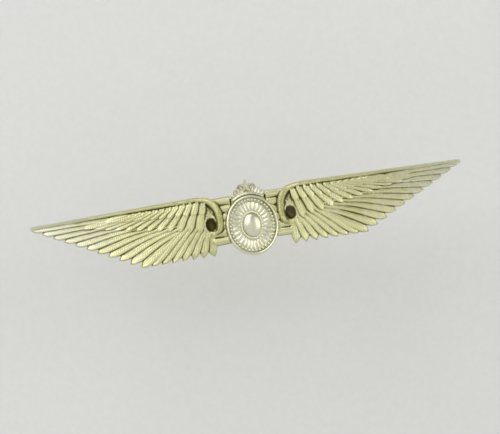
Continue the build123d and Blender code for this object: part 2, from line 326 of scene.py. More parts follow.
# Skin the face: whole squares inside the outline, cut squares along it
inside = outline > 0
number = np.full(outline.shape, -1)
number[inside] = np.arange(inside.sum())
points = list(zip(grid_x[np.nonzero(inside)[0]], -height[inside], grid_z[inside]))
hollow_of = list(hollows[inside])
whole = inside[:-1, :-1] & inside[1:, :-1] & inside[1:, 1:] & inside[:-1, 1:]
i, k = np.nonzero(whole)
faces = list(zip(number[i, k], number[i + 1, k], number[i + 1, k + 1], number[i, k + 1]))
cut = {}


def crossing(a, b):
    """The point where the outline cuts the line between two neighbours of the grid."""
    key = (min(a, b), max(a, b))
    if key not in cut:
        t = outline[a] / (outline[a] - outline[b])
        x = grid_x[a[0]] + t * (grid_x[b[0]] - grid_x[a[0]])
        z = grid_z[a] + t * (grid_z[b] - grid_z[a])
        cut[key] = len(points)
        near = a if inside[a] else b
        drop = edge_drop * np.sin(pi / 2 * min(1, outline[near] / edge_round))
        points.append((x, -(height[near] - drop), z))
        hollow_of.append(wall_hollow)
    return cut[key]


rim_edges = []
partly = inside[:-1, :-1] | inside[1:, :-1] | inside[1:, 1:] | inside[:-1, 1:]
for i, k in zip(*np.nonzero(partly & ~whole)):
    ring = [(i, k), (i + 1, k), (i + 1, k + 1), (i, k + 1)]
    corners = []
    cuts = []
    for a, b in zip(ring, ring[1:] + ring[:1]):
        if inside[a]:
            corners.append(number[a])
        if inside[a] != inside[b]:
            corners.append(crossing(a, b))
            cuts.append(len(corners) - 1)
    if len(corners) < 3:
        continue
    faces.append(tuple(corners))
    for first in cuts:
        following = (first + 1) % len(corners)
        if following in cuts:
            rim_edges.append((corners[first], corners[following]))


def full_turn(count):
    """Angles that are evenly spaced round a circle."""
    return np.linspace(0, 2 * pi, count, endpoint=False)


class Skin:
    """The points and faces of one piece, in millimetres, gathered from the forms it is made of."""

    def __init__(self):
        self.points = []
        self.faces = []

    def add(self, points, faces):
        """Points, and faces that number them from zero."""
        first = len(self.points)
        self.points += [tuple(p) for p in points]
        self.faces += [tuple(first + n for n in face) for face in faces]

    def loft(self, rings, around=False):
        """A skin through rings of equally many points, with its ends closed or joined together."""
        count = len(rings[0])
        points = [p for ring in rings for p in ring]
        faces = []
        pairs = list(zip(range(len(rings) - 1), range(1, len(rings))))
        if around:
            pairs.append((len(rings) - 1, 0))
        for a, b in pairs:
            for k in range(count):
                after = (k + 1) % count
                faces.append((a * count + k, a * count + after, b * count + after, b * count + k))
        for end in () if around else (0, len(rings) - 1):
            faces += [(end * count + k, end * count + (k + 1) % count, len(points)) for k in range(count)]
            points.append(np.mean(rings[end], axis=0))
        self.add(points, faces)

    def turn(self, outline, x, segments, base=0.0, around=False, z=0.0):
        """A form turned about an axis along the posts, from its (radius, height above base) outline."""
        self.loft([[(x + r * cos(a), base + y, z + r * sin(a)) for a in full_turn(segments)]
                   for r, y in outline], around)


def mark_hollows(mesh, known, gain=1.6, passes=4):
    """Stores how deep each point lies between its neighbours: 0 on an edge, 1 in a corner. The metal is
    painted darker where it lies deep, as painted shade.

    The first points can have a depth that is known already.
    """
    place = np.zeros(len(mesh.vertices) * 3)
    facing = np.zeros(len(mesh.vertices) * 3)
    ends = np.zeros(len(mesh.edges) * 2, int)
    mesh.vertices.foreach_get("co", place)
    mesh.vertices.foreach_get("normal", facing)
    mesh.edges.foreach_get("vertices", ends)
    place, facing, ends = place.reshape(-1, 3), facing.reshape(-1, 3), ends.reshape(-1, 2)
    step = place[ends[:, 1]] - place[ends[:, 0]]
    step /= np.maximum(np.linalg.norm(step, axis=1), 1e-9)[:, None]
    depth = np.zeros(len(place))
    count = np.zeros(len(place))
    for own, way in ((0, 1), (1, -1)):
        np.add.at(depth, ends[:, own], way * np.sum(step * facing[ends[:, own]], axis=1))
        np.add.at(count, ends[:, own], 1)
    depth /= np.maximum(count, 1)
    for _ in range(passes):
        total = depth.copy()
        for own, other in ((0, 1), (1, 0)):
            np.add.at(total, ends[:, own], depth[ends[:, other]])
        depth = total / (count + 1)
    depth = np.clip(0.5 + gain * depth, 0, 1)
    depth[:len(known)] = known
    mesh.attributes.new("hollow", "FLOAT", "POINT").data.foreach_set("value", depth)


def make_piece(name, skin, material, body, nodes, bevel=0.0, sharp=32, known=()):
    """A shown piece from its skin: smooth faces, broken edges, its finish and what it stands for."""
    mesh = bpy.data.meshes.new(name)
    mesh.from_pydata([tuple(c * mm for c in p) for p in skin.points], [], skin.faces)
    work = bmesh.new()
    work.from_mesh(mesh)
    bmesh.ops.recalc_face_normals(work, faces=work.faces)
    work.to_mesh(mesh)
    work.free()
    mesh.shade_smooth()
    mesh.set_sharp_from_angle(angle=radians(sharp))
    mark_hollows(mesh, known)
    piece = bpy.data.objects.new(name, mesh)
    bpy.context.scene.collection.objects.link(piece)
    if bevel:
        edges = piece.modifiers.new("broken edges", "BEVEL")
        edges.width = bevel * mm
        edges.segments = 2
        edges.limit_method = "ANGLE"
        edges.angle_limit = radians(sharp)
        edges.use_clamp_overlap = True
        even = piece.modifiers.new("even shading", "WEIGHTED_NORMAL")
        even.keep_sharp = True
    mesh.materials.append(material)
    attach(piece, body)
    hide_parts(*nodes)


def feed(tree, made, inputs):
    """Sets or links the inputs of a shader node."""
    for key, value in inputs.items():
        if isinstance(value, bpy.types.NodeSocket):
            tree.links.new(value, made.inputs[key])
        else:
            made.inputs[key].default_value = value


def node(tree, kind, inputs=(), **settings):
    """A shader node with its settings and inputs."""
    made = tree.nodes.new("ShaderNode" + kind)
    for name, value in settings.items():
        setattr(made, name, value)
    feed(tree, made, dict(inputs))
    return made


def combined(tree, first, second, operation="ADD"):
    """Two values added, or combined another way."""
    return node(tree, "Math", {0: first, 1: second}, operation=operation).outputs[0]


def ranged(tree, value, low, high, to_low, to_high, way="LINEAR"):
    """A value carried over from one range into another, and held at its ends."""
    ends = {"Value": value, "From Min": low, "From Max": high, "To Min": to_low, "To Max": to_high}
    return node(tree, "MapRange", ends, interpolation_type=way).outputs[0]


def noise(tree, place, scale, detail, **inputs):
    """Soft random patches, from 0 to 1."""
    return node(tree, "TexNoise", {"Vector": place, "Scale": scale, "Detail": detail, **inputs}).outputs[0]


def blended(tree, share, first, second):
    """A colour between two colours."""
    return node(tree, "Mix", {0: share, 6: first, 7: second}, data_type="RGBA").outputs[2]


def srgb(*levels):
    """A colour as a painter would give it, in levels from 0 to 255, for a shader."""
    shares = [level / 255 for level in levels]
    return (*(s / 12.92 if s <= 0.04045 else ((s + 0.055) / 1.055) ** 2.4 for s in shares), 1.0)


def make_handled_metal():
    """What handling and polishing leave on metal: dull hollows, cloudy patches, grain, hairlines and pits;
    the hollows are also painted darker, as painted shade.
    """
    tree = bpy.data.node_groups.new("handled metal", "ShaderNodeTree")
    for label, kind, value in (
        ("Place", "Vector", (0, 0, 0)), ("Hollow", "Float", 0.5), ("Grain Scale", "Float", 6.0),
        ("Grain Stretch", "Vector", (1, 1, 1)), ("Dull Shade From", "Float", 0.55), ("Dull Shade To", "Float", 0.8),
    ):
        socket = tree.interface.new_socket(label, in_out="INPUT", socket_type="NodeSocket" + kind)
        socket.default_value = value
    for label in ("Dull Shade", "Cloud", "Grain", "Relief"):
        tree.interface.new_socket(label, in_out="OUTPUT", socket_type="NodeSocketFloat")
    given = tree.nodes.new("NodeGroupInput").outputs
    place = given["Place"]
    cloud = noise(tree, place, 0.33, 4.0, Roughness=0.6)
    drawn = node(tree, "VectorMath", {0: place, 1: given["Grain Stretch"]}, operation="MULTIPLY").outputs[0]
    grain = noise(tree, drawn, given["Grain Scale"], 4.0, Roughness=0.65)
    scratches = []
    for turn, seed in ((0.5, 3.1), (-0.9, 8.7), (1.9, 17.3)):
        spun = node(tree, "Mapping", {"Vector": place, "Location": (seed, seed, -seed),
                                      "Rotation": (0, turn, 0), "Scale": (0.5, 1.0, 9.0)}).outputs[0]
        scratches.append(ranged(tree, noise(tree, spun, 0.9, 2.0), 0.665, 0.7, 0, 1))
    hairlines = combined(tree, combined(tree, scratches[0], scratches[1]), scratches[2])
    cells = node(tree, "TexVoronoi", {"Vector": place, "Scale": 1.7}).outputs["Distance"]
    pits = ranged(tree, cells, 0.02, 0.11, 1, 0)
    uneven = combined(tree, ranged(tree, cloud, 0.3, 0.7, -0.12, 0.12),
                      ranged(tree, grain, 0.3, 0.7, -0.05, 0.05))
    depth = combined(tree, given["Hollow"], uneven)
    # How dull a place is and how dark its painted shade is: both grow with how hollow it is
    dull_shade = ranged(tree, depth, given["Dull Shade From"], given["Dull Shade To"], 0, 1, "SMOOTHSTEP")
    sunk = combined(tree, combined(tree, hairlines, 0.35, "MULTIPLY"), combined(tree, pits, 0.8, "MULTIPLY"))
    relief = combined(tree, grain, sunk, "SUBTRACT")
    made = tree.nodes.new("NodeGroupOutput")
    feed(tree, made, {"Dull Shade": dull_shade, "Cloud": cloud, "Grain": grain, "Relief": relief})
    return tree


handled_metal = make_handled_metal()


def make_metal(name, bright, dull_shade, tint, gloss, grain_scale, stretch, dull_shade_range, relief):
    """Metal that is bright where hands rub it, and duller and painted darker in its hollows, as painted
    shade.

    Gloss is its roughness, bright and dull. The dull shade colour is the painted shade of the hollows. The
    dull shade range is how hollow a place is where dulling and painted shade start and where they are full.
    Relief is how high its grain stands, in millimetres.
    """
    material = bpy.data.materials.new(name)
    material.use_nodes = True
    tree = material.node_tree
    seen = node(tree, "TexCoord").outputs["Object"]
    place = node(tree, "VectorMath", {0: seen, 1: (1 / mm, 1 / mm, 1 / mm)}, operation="MULTIPLY").outputs[0]
    hollow = node(tree, "Attribute", attribute_name="hollow").outputs["Fac"]
    wear = node(tree, "Group", {"Place": place, "Hollow": hollow, "Grain Scale": grain_scale,
                                "Grain Stretch": stretch, "Dull Shade From": dull_shade_range[0],
                                "Dull Shade To": dull_shade_range[1]}, node_tree=handled_metal).outputs
    clouded = blended(tree, ranged(tree, wear["Cloud"], 0.35, 0.68, 0, 0.6), bright, tint)
    buffed = ranged(tree, wear["Grain"], 0.3, 0.7, gloss[0] * 0.75, gloss[0] * 1.35)
    patchy = combined(tree, buffed, ranged(tree, wear["Cloud"], 0.35, 0.7, -0.03, 0.06))
    duller = combined(tree, wear["Dull Shade"], gloss[1] - gloss[0], "MULTIPLY")
    bump = node(tree, "Bump", {"Strength": 1.0, "Distance": relief * mm, "Height": wear["Relief"]})
    feed(tree, tree.nodes["Principled BSDF"], {
        "Metallic": 1.0,
        # painted shade: the hollows take the darker colour
        "Base Color": blended(tree, wear["Dull Shade"], clouded, dull_shade),
        "Roughness": combined(tree, patchy, duller),
        "Normal": bump.outputs[0],
    })
    return material


# Each metal's second colour is the darker one that its hollows are painted, as painted shade
wing_gold = make_metal("wing gold", srgb(216, 215, 167), srgb(90, 86, 50), srgb(199, 195, 138),
                       gloss=(0.27, 0.55), grain_scale=7.0, stretch=(1, 1, 1.6), dull_shade_range=(0.53, 0.9),
                       relief=0.005)
# Painted highlight: the two tips are painted paler, near white, fading in from the middle with blotchy edges
tip_highlight = srgb(222, 222, 206)
highlight_start = 0.022          # metres out from the badge's middle
highlight_end = 0.037
tree = wing_gold.node_tree
base_colour = tree.nodes["Principled BSDF"].inputs["Base Color"]
seen = node(tree, "TexCoord").outputs["Object"]
sideways = node(tree, "SeparateXYZ", {0: seen}).outputs["X"]
out = node(tree, "Math", {0: sideways}, operation="ABSOLUTE").outputs[0]
blotch = ranged(tree, noise(tree, seen, 420.0, 3.0), 0.3, 0.7, -0.3, 0.3)
tip_highlight_share = combined(tree, ranged(tree, out, highlight_start, highlight_end, 0, 1), blotch)
tip_highlight_share = ranged(tree, tip_highlight_share, 0.1, 1.0, 0, 0.65)
tree.links.new(blended(tree, tip_highlight_share, base_colour.links[0].from_socket, tip_highlight), base_colour)

wings = Skin()
wings.add(points, faces)
foot_of = {}
for a, b in rim_edges:
    for n in (a, b):
        if n not in foot_of:
            foot_of[n] = len(wings.points)
            x, y, z = wings.points[n]
            wings.points.append((x, 0.0, z))
    wings.faces.append((a, b, foot_of[b], foot_of[a]))

# The flat back, with round recesses for the post pads and for the rivet heads
recesses = [(side * post_x, 0, recess_radius, recess_depth) for side in (-1, 1)]
recesses += [(0, z, rivet_reach + 0.02, rivet_seat) for z in rivet_heights]
own_number = list(foot_of.values())
back = bmesh.new()
corner_of = {n: back.verts.new(wings.points[n]) for n in own_number}
for a, b in rim_edges:
    back.edges.new((corner_of[foot_of[a]], corner_of[foot_of[b]]))
for x, z, radius, depth in recesses:
    circle = [(x + radius * cos(a), z + radius * sin(a)) for a in full_turn(72)]
    ring = [back.verts.new((u, 0, w)) for u, w in circle]
    first = len(wings.points)
    wings.points += [tuple(v.co) for v in ring]
    wings.points += [(u, -depth, w) for u, w in circle]
    wings.points.append((x, -depth, z))
    for k in range(len(ring)):
        back.edges.new((ring[k - 1], ring[k]))
        a, b = first + (k - 1) % len(ring), first + k
        c, d = a + len(ring), b + len(ring)
        wings.faces += [(a, b, d, c), (c, d, first + 2 * len(ring))]
        own_number.append(b)
bmesh.ops.triangle_fill(back, use_beauty=True, use_dissolve=False, edges=back.edges[:])
back.verts.index_update()
wings.faces += [tuple(own_number[v.index] for v in f.verts) for f in back.faces]
back.free()
hollow_of += [back_hollow] * len(foot_of)
make_piece("wings", wings, wing_gold, "badge", ["wing_blank"], sharp=50, known=hollow_of)

# ---- Posts ----
# Two brass nails that hold the badge to cloth, turned from drawn rod. Each has a wide pad at its foot, three
# grooves that the clutch snaps into and a sharp point. The pad lies in a recess in the badge's back.
sides = ((-1, "left"), (1, "right"))
post_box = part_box("right_post")
post_radius = 0.55
post_tip = post_box[1].y / mm
pad_radius = half_size(post_box)[0]
pad_top = 0.15
pad_edge = 0.1              # radius of the pad's rounded edge
foot_fillet = 0.25
point_length = 1.6
groove_starts = (2.05, 2.925, 3.8)
groove_width = 0.55
groove_depth = 0.16
groove_round = 0.12
post_brass = make_metal("drawn brass", srgb(226, 203, 140), srgb(120, 96, 50), srgb(212, 184, 116),
                        gloss=(0.24, 0.5), grain_scale=5.0, stretch=(1, 9, 1), dull_shade_range=(0.6, 0.85),
                        relief=0.004)


def arc(centre, radius, first, last, count=6):
    """Points of an outline along an arc, between two angles in degrees."""
    angles = np.radians(np.linspace(first, last, count))
    return [(centre[0] + radius * cos(a), centre[1] + radius * sin(a)) for a in angles]


outline = [(pad_radius - 0.04, -recess_depth), (pad_radius, -recess_depth + 0.04)]
outline += arc((pad_radius - pad_edge, pad_top - pad_edge), pad_edge, 0, 90)
# a shallow ring turned in the pad, then the fillet at the foot of the nail
outline += [(1.72, pad_top), (1.66, pad_top - 0.05), (1.5, pad_top - 0.05), (1.44, pad_top)]
outline += arc((post_radius + foot_fillet, pad_top + foot_fillet), foot_fillet, 270, 180)
for start in groove_starts:
    end = start + groove_width
    bottom = (post_radius - groove_depth + groove_round, start + groove_width / 2)
    outline += [(post_radius, start), (post_radius - 0.05, start + 0.1)]
    outline += arc(bottom, groove_round, 220, 140, 5)
    outline += [(post_radius - 0.05, end - 0.1), (post_radius, end)]
point_start = post_tip - point_length
outline += [(post_radius, point_start - 0.05), (post_radius - 0.02, point_start + 0.08)]
outline += [(0.3, post_tip - 0.78), (0.09, post_tip - 0.07), (0.05, post_tip - 0.015), (0.02, post_tip)]
for side, side_name in sides:
    post = Skin()
    post.turn(outline, side * post_x, 96)
    make_piece(f"{side_name}_post_nail", post, post_brass, "badge", [f"{side_name}_post"])

# ---- Solder ----
# A ring of silver solder round each pad, which flowed between the pad and its recess and holds the post.
# Its surface hangs between the two and is a little uneven from its last boiling.
silver_solder = make_metal("silver solder", srgb(196, 196, 190), srgb(112, 108, 98), srgb(176, 174, 164),
                           gloss=(0.38, 0.6), grain_scale=2.4, stretch=(1, 1, 1), dull_shade_range=(0.55, 0.9),
                           relief=0.02)
# its section, from the pad outwards: share of the way across, and depth
solder_section = ((0.0, -recess_depth), (1.0, -recess_depth), (1.0, -0.06), (0.8, -0.1), (0.5, -0.12),
                  (0.25, -0.09), (0.0, -0.012))
for side, side_name in sides:
    outer = half_size(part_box(f"{side_name}_solder_ring"))[0]
    inner = pad_radius + 0.01
    angles = full_turn(120)
    uneven = 0.018 * np.sin(3 * angles + side) + 0.012 * np.sin(7 * angles + 2 * side)
    rings = []
    for share, y in solder_section:
        r = inner + share * (outer - inner)
        lift = uneven * 4 * share * (1 - share)
        rings.append([(side * post_x + r * cos(a), y + u, r * sin(a)) for a, u in zip(angles, lift)])
    solder = Skin()
    solder.loft(rings, around=True)
    make_piece(f"{side_name}_solder", solder, silver_solder, "badge",
               [f"{side_name}_solder_ring"])

# ---- Sunray plate ----
# The medallion's base: a struck oval of soft rays inside a plain border, with a tongue that stands behind
# the star. It is plated paler than the wings, and two rivets hold it to the seat between them.
medallion_gold = make_metal("medallion gold", srgb(226, 226, 202), srgb(116, 108, 72), srgb(218, 215, 180),
                            gloss=(0.26, 0.5), grain_scale=6.0, stretch=(1, 1, 1), dull_shade_range=(0.54, 0.86),
                            relief=0.004)
ray_count = 28
ray_start = 1.2             # how far inside the oval the rays start, and how long they are
ray_length = 1.56
ray_rise = 0.13
field = plate_front - 0.14  # the ground that the rays stand on
tongue_foot = 3.2
star_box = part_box("medallion_star")
star_radius = 1.65
star_height = star_box[1].z / mm - star_radius
oval_points = 224


def oval_ring(inset, height, reach=oval):
    """A ring of points an even step inside an oval. Its height may change around it."""
    angles = full_turn(oval_points)
    heights = np.broadcast_to(height, angles.shape)
    return [((reach[0] - inset) * sin(a), -h, -oval_drop + (reach[1] - inset) * cos(a))
            for a, h in zip(angles, heights)]


plate = Skin()
turns = np.arange(oval_points) / oval_points * ray_count % 1
ridge = 1 - np.abs(2 * turns - 1)
border = [(0, plate_back), (0, plate_front - 0.08), (0.02, plate_front - 0.02), (0.08, plate_front),
          (1.05, plate_front), (1.14, plate_front - 0.03)]
rings = [oval_ring(inset, height) for inset, height in border]
for share in np.linspace(0, 1, 10):
    swell = sin(pi * min(1, 0.08 + share)) ** 0.5 if share < 1 else 0
    rings.append(oval_ring(ray_start + ray_length * share, field + ray_rise * swell * (1 - (1 - ridge) ** 2)))
rings.append(oval_ring(3.3, field))
plate.loft(rings)
tongue = [(tongue_half * cos(a), star_height + tongue_half * sin(a)) for a in np.linspace(0, pi, 24)]
tongue += [(-tongue_half, tongue_foot), (tongue_half, tongue_foot)]
plate.loft([[(u * grow, -h, w) for u, w in tongue]
            for h, grow in ((plate_back, 1), (plate_front - 0.06, 1), (plate_front, 0.93))])
make_piece("sunray_plate", plate, medallion_gold, "badge", ["medallion_plate"])

# ---- Pearled rim ----
# A cast oval frame soldered to the plate: a round polished band, and inside it a channel with a row of
# pearls, which were rolled into it with a beading wheel.
rim_top = -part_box("medallion_rim")[0].y / mm
band_width = 0.5
rim_width = 1.15
channel = 1.84              # height of the channel's floor
pearl_count = 42
pearl_radius = 0.29


def bead(skin, centre, radius, base, squash=1.0, count=12):
    """A round pearl standing on a face: centre in (x, z), base and radius along the badge's depth."""
    rings = []
    for slope in np.radians((-20, 0, 22, 44, 64, 80)):
        r = radius * cos(slope)
        h = base + squash * radius * (0.34 + sin(slope))
        rings.append([(centre[0] + r * cos(a), -h, centre[1] + r * sin(a)) for a in full_turn(count)])
    skin.loft(rings)


rim = Skin()
section = [(0.0, plate_front), (0.0, 2.12), (0.03, 2.24), (0.08, 2.34), (0.16, 2.42), (0.25, rim_top),
           (0.34, 2.42), (0.42, 2.34), (0.47, 2.22), (band_width, 2.08)]
section += [(band_width + 0.01, channel), (1.08, channel), (1.12, 1.9), (1.14, 1.86), (rim_width, 1.8),
            (rim_width, plate_front)]
rim.loft([oval_ring(inset, height) for inset, height in section], around=True)
pearl_inset = (band_width + rim_width) / 2 - 0.01
pearl_oval = (oval[0] - pearl_inset, oval[1] - pearl_inset)
# the pearls lie evenly along the oval, whose length is measured in fine steps
fine = np.linspace(0, 2 * pi, 721)
run = np.cumsum(np.hypot(pearl_oval[0] * np.cos(fine), pearl_oval[1] * np.sin(fine)))
run = (run - run[0]) / (run[-1] - run[0])
for a in np.interp(np.arange(pearl_count) / pearl_count, run, fine):
    bead(rim, (pearl_oval[0] * sin(a), -oval_drop + pearl_oval[1] * cos(a)), pearl_radius, channel)
make_piece("pearled_rim", rim, medallion_gold, "badge", ["medallion_rim"])

# ---- Polished boss ----
# The middle of the medallion, where such a badge has its maker's or owner's sign: here a bare polished
# dome in a milled collar, pressed into the plate.
boss_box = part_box("medallion_boss")
boss_top = -boss_box[0].y / mm
boss = half_size(boss_box)[::2]
collar_height = plate_front + 0.26
notch_count = 32
milled = 0.035 * np.cos(np.arange(oval_points) / oval_points * 2 * pi * notch_count)
dome_inset = 0.42
dome_drop = 0.1             # how far the dome's foot lies below the collar's top
# the collar's rings: inset, depth below its top, and share of the milling there
collar = ((0.02, 0.46, 0), (0, 0.1, 0), (0.04, 0.03, 0.5), (0.1, 0, 1), (0.24, 0, 1), (0.32, 0.04, 0.3),
          (0.37, dome_drop, 0), (dome_inset, dome_drop, 0))
rings = [oval_ring(inset, collar_height - depth + share * milled, boss) for inset, depth, share in collar]
dome_foot = collar_height - dome_drop
for slope in np.radians(np.linspace(4, 88, 15)):
    reach = [(half - dome_inset) * cos(slope) for half in boss]
    rings.append(oval_ring(0, dome_foot + (boss_top - dome_foot) * sin(slope), reach))
boss_skin = Skin()
boss_skin.loft(rings)
make_piece("polished_boss", boss_skin, medallion_gold, "badge", ["medallion_boss"])

# ---- Star and leaves ----
# A five-pointed star on top of the medallion, its ten facets rising to a point. It is cast in one with
# a curved foot, three leaves on each side and two end beads, and soldered to the plate's tongue.
star_top = -star_box[0].y / mm
star_notch = 0.7            # radius of the star between its points
star_lip = plate_front + 0.3
foot_outset = 0.36          # how far outside the medallion's oval the foot runs
foot_half_turn = radians(31)
# each leaf's root, tip, bow and base
leaves = (((0.75, 3.9), (1.5, 5.8), 0.1, 1.42), ((1.2, 3.9), (2.25, 5.15), 0.12, 1.46),
          ((1.6, 3.8), (2.95, 4.5), 0.12, 1.5))


def ridge_along(skin, path, half_widths, base, rises, count=9):
    """A low round ridge that follows a path, with its width and rise given from end to end."""
    shares = np.linspace(0, 1, len(path))
    halves = np.interp(shares, np.linspace(0, 1, len(half_widths)), half_widths)
    tops = np.interp(shares, np.linspace(0, 1, len(rises)), rises)
    way = np.gradient(path, axis=0)
    way /= np.hypot(way[:, 0], way[:, 1])[:, None]
    section = [(cos(a), sin(a)) for a in np.linspace(0, pi, count)]
    rings = []
    for p, w, half, top in zip(path, way, halves, tops):
        ring = [(p[0] - w[1] * half * u, -(base + 0.1 + (top - 0.1) * v), p[1] + w[0] * half * u)
                for u, v in section]
        rings.append(ring + [(ring[-1][0], -base, ring[-1][2]), (ring[0][0], -base, ring[0][2])])
    skin.loft(rings)


star = Skin()
corners = []
for k in range(10):
    reach = star_radius if k % 2 == 0 else star_notch
    corners.append((reach * sin(radians(36 * k)), reach * cos(radians(36 * k))))
edges = [(plate_front, 1.0), (star_lip - 0.05, 1.0), (star_lip, 0.97)]
star.loft([[(u * grow, -h, star_height + w * grow) for u, w in corners] for h, grow in edges])
# the middle of the last ring, drawn up to the star's point
star.points[-1] = (0.0, -star_top, star_height)
foot = np.array([((oval[0] + foot_outset) * sin(a), -oval_drop + (oval[1] + foot_outset) * cos(a))
                 for a in np.linspace(-foot_half_turn, foot_half_turn, 41)])
ridge_along(star, foot, [0.26, 0.3, 0.34, 0.3, 0.26], plate_front, [0.5, 0.62, 0.66, 0.62, 0.5])
for side, end in ((-1, foot[0]), (1, foot[-1])):
    bead(star, end, 0.33, plate_front, 1.1, 20)
    for root, tip, bow, base in leaves:
        root = np.array((side * root[0], root[1]))
        tip = np.array((side * tip[0], tip[1]))
        across = np.array((-(tip - root)[1], (tip - root)[0]))
        leaf = curve([root, (root + tip) / 2 - side * bow * across, tip], 9)
        ridge_along(star, leaf, [0.36, 0.52, 0.56, 0.44, 0.14], base + 0.01 * side,
                    [0.28, 0.34, 0.34, 0.28, 0.16])
# Painted shade by height: darkest and dullest in the low places between the leaves, brightest towards the
# star's point
height_shade = np.interp([-y for _, y, _ in star.points], (1.5, 1.6, star_top), (0.58, 0.71, 0.4))
make_piece("star_and_leaves", star, medallion_gold, "badge", ["medallion_star"],
           bevel=0.03, known=height_shade)

# ---- Rivets ----
# Two soft brass rivets through the seat into the plate, one above the other. Their heads were hammered
# over in round sinkings in the badge's back and filed flush.
rivets = Skin()
# from a rivet's foot to its head: share of the head's radius, and depth
rivet_section = ((0.5, -1.2), (0.55, -rivet_seat - 0.02), (1.0, -rivet_seat), (1.0, -0.13), (0.97, -0.08),
                 (0.88, -0.04), (0.7, -0.015), (0.45, -0.005), (0.2, 0.0))
for z in rivet_heights:
    angles = full_turn(60)
    rings = []
    for share, y in rivet_section:
        r = share * rivet_reach
        blows = 0.02 * np.sin(4 * angles + z) * min(share, 1 - share) * 4 if y > -rivet_seat else 0 * angles
        rings.append([(r * cos(a), min(0.0, y + b), z + r * sin(a)) for a, b in zip(angles, blows)])
    rivets.loft(rings)
make_piece("hammered_rivets", rivets, post_brass, "badge", ["medallion_rivets"])

# ---- Clutch dishes ----
# The front half of each butterfly clutch, pressed from sheet brass: it lies against the cloth, and its
# rim is rolled over the foot of the clutch's domed cap. The post goes through an eyelet in its middle.
clutch_brass = make_metal("pressed brass", srgb(221, 204, 148), srgb(108, 90, 50), srgb(206, 184, 122),
                          gloss=(0.22, 0.46), grain_scale=3.0, stretch=(1, 1, 1), dull_shade_range=(0.56, 0.84),
                          relief=0.01)
sheet = 0.35
dish_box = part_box("right_clutch_base")
cloth_gap = dish_box[0].y / mm
dish_radius = half_size(dish_box)[0]
rim_round = 0.36            # radii of the rolled rim, towards the cap and towards the cloth
rim_turn = 0.22
cap_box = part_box("right_clutch_shell")
cap_top = cap_box[1].y / mm - cloth_gap
flange_radius = half_size(cap_box)[0]
wire_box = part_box("right_clutch_outer_jaw")
wire = half_size(wire_box)[1]
# where the wire's straight ends lie, out from the post and up from the cloth, and their half length
wire_end = (middle_of(wire_box)[0] - post_x, middle_of(wire_box)[1] - cloth_gap)
wire_end_half = half_size(wire_box)[2]
bow_start = 2.0             # how far from the post the wire's bend starts

# from the eyelet's lip, out along the dish's inside, over the rolled rim and back along the cloth
outline = [(0.9, 0.0), (0.82, 0.05), (0.8, 0.14), (0.8, 0.5), (0.85, 0.57), (0.93, 0.57), (1.0, 0.5),
           (1.04, 0.42), (1.12, sheet), (2.0, sheet), (3.0, sheet), (flange_radius + 0.01, sheet),
           (flange_radius + 0.01, 0.73), (4.47, 0.745), (4.4, 0.79), (4.37, 0.86), (4.42, 0.94), (4.52, 0.99)]
outline += arc((dish_radius - rim_round, 0.64), rim_round, 90, 0, 7)
outline += arc((dish_radius - rim_turn, rim_turn), rim_turn, 0, -90, 6)
# a stiffening ring pressed up from the face that meets the cloth
outline += [(4.3, 0.0), (3.62, 0.0), (3.5, 0.05), (3.38, 0.07), (3.26, 0.05), (3.14, 0.0), (2.0, 0.0)]
# the dimple that the spring's bow rests on
dimple = [(0.5, 0.2), (0.5, 0.5), (0.44, 0.66), (0.3, 0.75), (0.1, wire_end[1] - wire - 0.01)]
for side, side_name in sides:
    dish = Skin()
    dish.turn(outline, side * post_x, 128, cloth_gap, around=True)
    dish.turn(dimple, side * post_x, 32, cloth_gap, z=-(bow_start + wire_end[0]))
    make_piece(f"{side_name}_clutch_dish", dish, clutch_brass, f"{side_name}_clutch",
               [f"{side_name}_clutch_base"])

# ---- Clutch caps ----
# The back half of each clutch, drawn from the same sheet to a low dome with a square window. Two edges of the
# window are curled down round the finger tabs' knuckles, and the other two are turned under.
cap_foot = 4.1
cap_crown = 3.6
crown_round = 0.3           # width of the rounded shoulder round the crown
hinge = np.array((1.9, 1.9))            # out from the post and up from the cloth
hinge_room = 0.36
window_half = 2.15
window_square = 9
curl_end = -52              # where the curled edge stops, in degrees up from the hinge's level


def framed_ring(half_x, half_z, squareness, x, height):
    """A ring across the posts: a circle at a squareness of 2, and a rounded rectangle at a higher one."""
    angles = full_turn(160)
    reach = (np.abs(np.cos(angles) / half_x) ** squareness
             + np.abs(np.sin(angles) / half_z) ** squareness) ** (-1 / squareness)
    return np.array([(x + r * cos(a), cloth_gap + height, r * sin(a)) for a, r in zip(angles, reach)])


crown_angle = np.degrees(np.arcsin((cap_top - hinge[1]) / hinge_room))
crown_start = hinge[0] + hinge_room * cos(radians(crown_angle)) + 0.1
crown_end = cap_crown - crown_round
# rounded shoulder, leaning wall, and the flange that the dish holds; then back along the inside
wall = [(crown_end, cap_top), (cap_crown - 0.16, cap_top - 0.02), (cap_crown - 0.05, cap_top - 0.1),
        (cap_crown + 0.03, cap_top - 0.24), (3.72, 1.72), (3.9, 1.2), (4.03, 0.85), (cap_foot, 0.75),
        (4.2, 2 * sheet), (flange_radius, 2 * sheet), (flange_radius, sheet + 0.01), (3.75, sheet + 0.01),
        (3.25, cap_top - sheet)]
